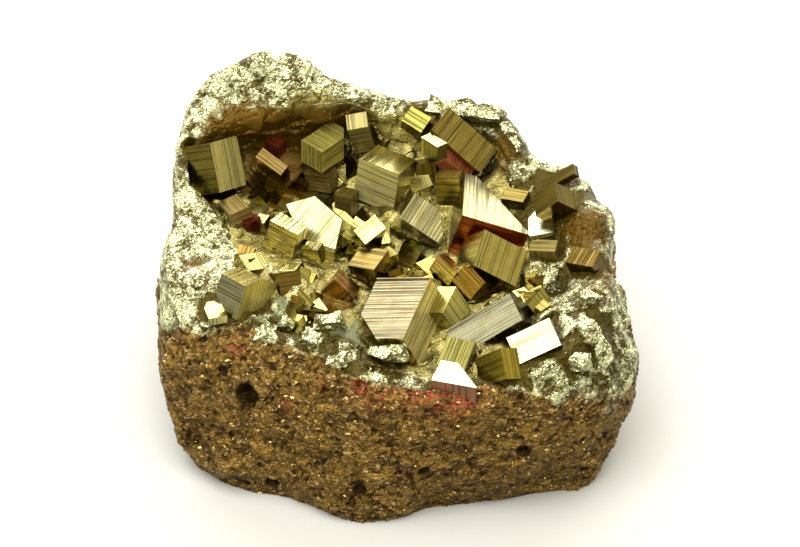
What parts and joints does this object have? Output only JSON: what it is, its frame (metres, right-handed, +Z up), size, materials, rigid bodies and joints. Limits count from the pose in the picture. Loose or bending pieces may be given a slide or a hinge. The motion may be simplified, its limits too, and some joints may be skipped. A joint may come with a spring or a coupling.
{
  "type": "pyrite cluster",
  "caption": "Natural pyrite cluster: striated cubic crystals line the hollowed top of a granular lump that stands on a flat cut.",
  "frame": {"origin": "middle of the outline, on the flat cut that the cluster rests on", "axes": "+X to the right along the longest extent, +Y to the back, where the lump is highest, +Z up"},
  "size_m": [0.0793, 0.0706, 0.0466],
  "materials": {
    "pyrite": "brassy metallic lustre on the crystals and the rim, dull brown granular wall"
  },
  "bodies": {
    "root": {"pyrite_cluster": "pyrite"}
  },
  "joints": []
}
